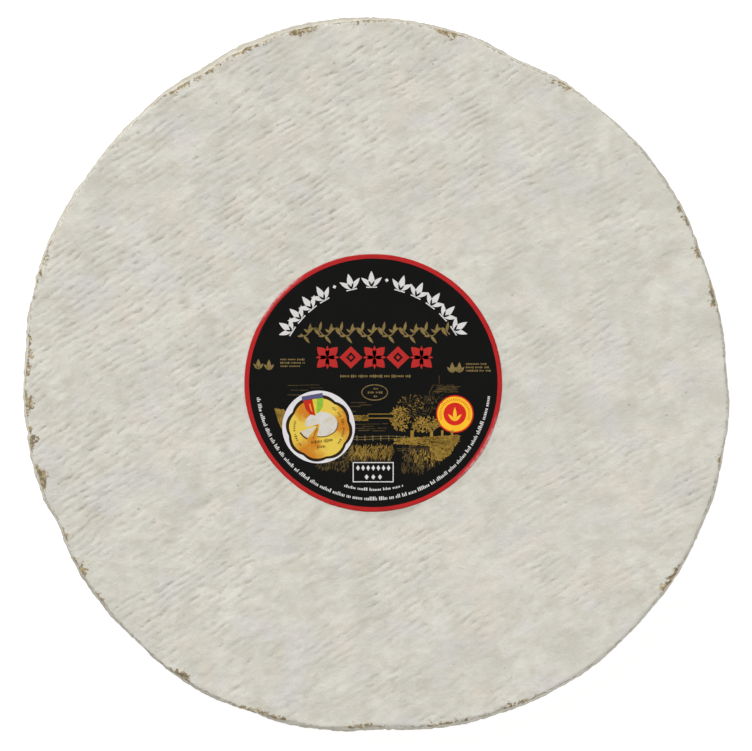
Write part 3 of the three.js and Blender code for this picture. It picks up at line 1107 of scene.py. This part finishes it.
def seal_prints(tree, film):
    """A plain round seal: a yellow disc with a ring of red ticks and a leaf in a red middle."""
    x, y = SEAL
    yellow = varnished("seal_yellow", (252, 196, 44), (246, 178, 40), 4.0)
    red = varnished("seal_red", (214, 38, 30), (196, 30, 28), 4.0)
    disc = film.over()
    disc.hoop(circle(SEAL_MIDDLE, 60, SEAL), circle(SEAL_YELLOW, 60, SEAL))
    for lean, length, width in SEAL_LEAVES:
        disc.patch(turned(leaf(), 90 + lean, (x, y - 3.6), (length, width)))
    rings = film.over(proud=INK_PROUD - 0.008)
    rings.hoop(circle(SEAL_YELLOW, 120, SEAL), circle(SEAL_EDGE, 120, SEAL))
    rings.patch(circle(SEAL_MIDDLE, 60, SEAL))
    ticks = []
    for angle in np.linspace(-20, 200, 28):
        across, up = on_arc(SEAL_TICKS, angle)
        ticks.append((x + across, y + up, angle, 1.2, 0.34))
    parts = [rings.piece("seal_rings", red),
             set_out(tree, "seal_ticks", film.over(0.006), [TICK], ticks, red)]
    return [disc.piece("seal_yellow_print", yellow), joined("seal_red_print", parts)]


def paper_label():
    centre, seat, radius = seat_of("paper_label")
    tree = prints_tree()
    film = Film(centre, seat + PAPER_TOP, paper_lift)
    pieces = [label_paper(centre, seat, radius)]
    white = varnished("white_print", (220, 218, 215), (206, 204, 200))
    red = varnished("red_print", (186, 44, 40), (172, 36, 34), 4.0)
    bright_gold = varnished("bright_gold_print", (164, 132, 56), (134, 104, 40), share=0.8)
    gold = varnished("gold_print", (136, 116, 70), (116, 98, 56), share=0.8)
    dark_gold = varnished("dark_gold_print", (92, 76, 42), (66, 54, 30), 4.0, 0.8)
    pieces += [white_prints(tree, film, white), red_prints(tree, film, red), gold_prints(tree, film, gold),
               landscape(tree, "gold_landscape_print", film, bright_gold, 23, **SUNNY),
               landscape(tree, "dark_gold_label_print", film, dark_gold, 5, **SHADED)]
    pieces += seal_prints(tree, film)
    for piece in pieces:
        declare(piece, "paper_label")


STICKER_TOP = 0.09  # top of the sticker's paper above its seat
STICKER_LAYER = 0.011  # how much each ink stands above the one below it
SCALLOPS, SCALLOP_TURN = 8, 14  # how many bulges round the medallion, and the first one's angle
CHEESE_MIDDLE = (1.4, 1.5)
WEDGE_DRAWN = (-2.9, -1.7)  # how far the wedge is drawn out

# The ribbon's tab: name, colour, layer and outline.
RIBBON_TAB = [
    ("sticker_blue", (92, 88, 126), 4, [(-8.5, 13.4), (2.3, 15.1), (2.0, 17.4), (-8.6, 15.5)]),
    ("sticker_red", (196, 44, 26), 4,
     [(-6.6, 9.0), (-4.4, 6.4), (-1.6, 5.8), (-3.2, 14.1), (-7.9, 13.4)]),
    ("sticker_orange", (238, 150, 50), 5, [(-3.9, 8.4), (-3.0, 7.6), (-4.2, 12.0), (-5.0, 11.6)]),
    ("sticker_yellow", (216, 204, 62), 4, [(-1.6, 5.8), (-0.9, 7.0), (-0.8, 14.5), (-3.2, 14.1)]),
    ("sticker_green", (142, 188, 60), 4,
     [(-0.9, 7.0), (0.2, 7.4), (2.2, 10.4), (2.4, 14.9), (-0.8, 14.5)]),
]


def medal_gold(centre):
    """Gold foil print whose colour goes three times from yellow to orange round the medallion: the sweeps are
    painted reflection of the foil.
    """
    material, t, shader = new_material("medal_gold")
    place = object_place(t)
    x, y, _ = t.split(t.vec("SUBTRACT", place, (*centre, 0)))
    # Painted reflection: the foil's yellow and orange sweeps are set in its colour.
    lobes = t.times(t.calc("ARCTAN2", y, x), 3.0)
    painted_reflection_sweep = t.calc("COSINE", t.minus(lobes, math.radians(20)))
    painted_reflection_sweep = t.plus(painted_reflection_sweep, t.times(t.minus(cloud(t, place, 4, 3), 0.5), 2.4))
    tone = t.mix(t.span(painted_reflection_sweep, -0.7, 1.0), colour(228, 198, 80), colour(204, 128, 34))
    t.join(tone, shader.inputs["Base Color"])
    polish(shader, Roughness=0.4, Specular_IOR_Level=0.2, Coat_Weight=0.1, Coat_Roughness=0.2)
    return material


def cut_cheese(cheese, shade):
    """The medallion's motif: a round cheese seen from the side, with a wedge drawn out of it."""
    angle = np.arange(72) * 5.0
    edge = circle(1.0, 72) * (8.3, 6.2) + CHEESE_MIDDLE
    front, back, crust = angle >= 252, angle <= 196, (angle >= 200) & (angle <= 244)
    cheese.patch([*edge[front], *edge[back], (0.8, 1.7)])
    cheese.patch([(-0.9, 0.5), *(edge[crust] + WEDGE_DRAWN)])
    shade.ribbon([*(edge[front] + (0, -0.35)), *(edge[angle <= 10] + (0.1, -0.35))], 0.5)
    shade.ribbon(edge[crust] + WEDGE_DRAWN + (0, -0.45), 0.8)
    shade.ribbon([(-0.7, 0.3), (-2.0, -3.6), (-2.9, -6.2)], 0.35)


def award_sticker():
    """A white paper with a dark scalloped edge, a gold medallion, a cut cheese and a ribbon tab."""
    centre, seat, radius = seat_of("award_sticker")

    def layer(number):
        """An empty film for the ink with this number, counted up from the paper."""
        return Film(centre, seat + STICKER_TOP, proud=STICKER_LAYER * number)

    sheet = Film(centre, seat, sunk=0.0, proud=STICKER_TOP)
    sheet.patch(circle(radius - 0.05, 90))
    dark, gold, cheese, shade = layer(1), layer(2), layer(3), layer(3)
    dark.patch(scalloped(16.6, 1.2, SCALLOPS, SCALLOP_TURN, 160, (0.3, -0.7)))
    gold.patch(scalloped(15.1, 0.8, SCALLOPS, SCALLOP_TURN, 160, (0.3, -0.8)))
    cut_cheese(cheese, shade)
    cream = varnished("sticker_cream", (214, 211, 206), (206, 196, 172), 5.0, 1.0)
    parts = [
        sheet.piece("sticker_sheet", varnished("sticker_white", (226, 222, 225), (212, 209, 213), 2.0)),
        dark.piece("sticker_dark_edge", varnished("sticker_brown", (38, 28, 10), (58, 44, 16))),
        gold.piece("sticker_gold", medal_gold(centre)), cheese.piece("sticker_cheese", cream)]

    rng = np.random.default_rng(8)
    rows = level_writing(rng, -4.4, -8.0, 11.5, 1.9, 0.3, 6, 0.12)
    rows += level_writing(rng, -1.4, -10.4, 5.0, 1.6, 0.3, 6, 0.1)
    for start, end in ((62, -38), (158, 226)):
        rows += round_writing(rng, 12.6, start, end, 1.5, 0.5, centre=(0.2, -0.6))
    ink = varnished("sticker_ink", (98, 70, 18), (130, 92, 26))
    ticks = set_out(prints_tree(), "sticker_ticks", layer(3), [TICK], rows, ink)
    parts.append(joined("sticker_ink_print", [shade.piece("brown_lines", ink), ticks]))

    for name, shade, number, outline in RIBBON_TAB:
        tab = layer(number)
        tab.patch(outline)
        worn = [0.86 * c for c in shade]
        parts.append(tab.piece(name, varnished(name + "_ink", shade, worn, 2.0)))
    for part in parts:
        declare(part, "award_sticker")


# ---- The studio ----

VIEW_DISTANCE = 6.0  # in metres
SENSOR = 36.0
SEEN_SPAN = 383.5  # how much of the wheel's face the camera takes in, from side to side
SEEN_ACROSS = 0.15  # where the middle of the view lies, from the wheel's
SEEN_UP = -0.3


def camera():
    """Looks straight down from far away, so that the wall hardly shows."""
    made = placed("camera", bpy.data.cameras.new("camera"))
    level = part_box("cheese_wheel")[1].z
    made.data.sensor_width = SENSOR
    made.data.lens = SENSOR * VIEW_DISTANCE / (SEEN_SPAN * MM)
    made.data.clip_end = 10 * VIEW_DISTANCE
    made.location = (SEEN_ACROSS * MM, SEEN_UP * MM, level + VIEW_DISTANCE)
    bpy.context.scene.camera = made


def sun(name, azimuth, elevation, strength, spread):
    lamp = bpy.data.lights.new(name, "SUN")
    lamp.energy, lamp.angle = strength, math.radians(spread)
    made = placed(name, lamp)
    a, e = math.radians(azimuth), math.radians(elevation)
    towards = Vector((math.cos(a) * math.cos(e), math.sin(a) * math.cos(e), math.sin(e)))
    made.rotation_euler = towards.to_track_quat("Z", "Y").to_euler()


FLOOR_HALF = 4e4  # half the floor's width
FLOOR_GAP = 0.2  # how far the floor lies below the wheel


def studio():
    """A plain white floor under a pale sky that is dim overhead, a soft key and a softer fill."""
    sun("key", azimuth=125, elevation=46, strength=2.89, spread=34)
    sun("fill", azimuth=-38, elevation=30, strength=0.95, spread=60)
    world = bpy.data.worlds.new("studio")
    world.use_nodes = True
    bpy.context.scene.world = world
    background = world.node_tree.nodes["Background"]
    t = Tree(world.node_tree)
    up = t.split(t.add("ShaderNodeTexCoord").outputs["Generated"])[2]
    sky = t.mix(t.span(up, 0.05, 0.9), (1.0, 1.0, 1.0, 1), (0.12, 0.12, 0.125, 1))
    t.join(sky, background.inputs["Color"])
    t.join(0.5, background.inputs["Strength"])

    corners = FLOOR_HALF * np.array([(-1, -1, 0), (1, -1, 0), (1, 1, 0), (-1, 1, 0)])
    floor = mesh_object("floor", corners, [(0, 1, 2, 3)])
    material, t, shader = new_material("white_floor")
    polish(shader, Base_Color=(0.34, 0.34, 0.34, 1), Roughness=0.9, Specular_IOR_Level=0.1,
           Emission_Color=(1, 1, 1, 1), Emission_Strength=0.87)
    floor.data.materials.append(material)
    floor.location.z = -FLOOR_GAP * MM
    bpy.context.scene.view_settings.view_transform = "Standard"


camera()
studio()
cheese_wheel()
paper_label()
award_sticker()
